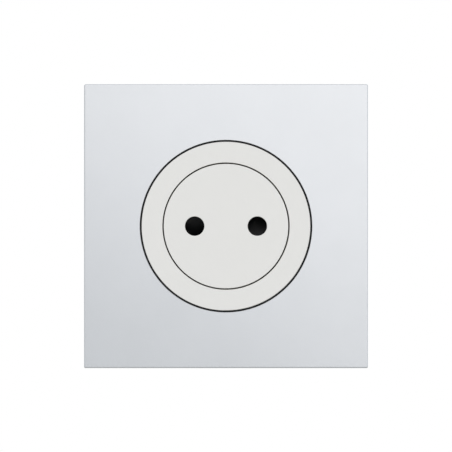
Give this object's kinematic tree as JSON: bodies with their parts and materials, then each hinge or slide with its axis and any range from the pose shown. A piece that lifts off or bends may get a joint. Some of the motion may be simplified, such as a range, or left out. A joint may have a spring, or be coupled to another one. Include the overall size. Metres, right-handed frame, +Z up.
{
  "type": "wall socket",
  "caption": "Flush wall socket for round-pin plugs, with a square metal plate and a sprung round face that a plug pushes in.",
  "frame": {"origin": "midway between the box screws, on the face of the wall", "axes": "+X to the right seen from the room, +Y into the wall, +Z up"},
  "size_m": [0.086, 0.0409, 0.086],
  "materials": {
    "anodised_plate": "satin anodised",
    "off_white_face": "fine matt moulded",
    "black_shutter": "moulded",
    "grey_carrier": "moulded",
    "white_base": "moulded",
    "natural_retainer": "moulded",
    "zinc_steel": "zinc plated",
    "spring_steel": "drawn wire",
    "contact_brass": "stamped",
    "rivet_steel": "nickel plated"
  },
  "bodies": {
    "housing": {"cover_plate": "anodised_plate", "plate_carrier": "grey_carrier", "finishing_ring": "off_white_face", "return_spring_top": "spring_steel", "return_spring_bottom": "spring_steel", "mounting_frame": "zinc_steel", "frame_rivets": "rivet_steel", "socket_base": "white_base", "left_contact": "contact_brass", "right_contact": "contact_brass", "left_contact_clip": "spring_steel", "right_contact_clip": "spring_steel", "left_top_terminal": "zinc_steel", "left_bottom_terminal": "zinc_steel", "right_top_terminal": "zinc_steel", "right_bottom_terminal": "zinc_steel", "terminal_screws": "zinc_steel", "rear_cover": "white_base", "cover_screws": "zinc_steel"},
    "disc": {"moving_disc": "off_white_face", "shutter_retainer": "natural_retainer", "retainer_screw": "zinc_steel", "shutter_spring": "spring_steel"},
    "shutter": {"shutter": "black_shutter"}
  },
  "joints": [
    {"name": "disc_slide", "type": "slide", "parent": "housing", "child": "disc", "axis": [0, 1, 0], "range_m": [0, 0.012], "stiffness_N_per_m": 870, "springref_m": -0.0044, "deforming": ["return_spring_top", "return_spring_bottom"]},
    {"name": "shutter_turn", "type": "hinge", "parent": "disc", "child": "shutter", "pos_m": [0, 0, 0], "axis": [0, 1, 0], "range_deg": [0, 39], "stiffness_Nm_per_rad": 0.0035, "springref_deg": -20.05, "deforming": ["shutter_spring"]}
  ]
}
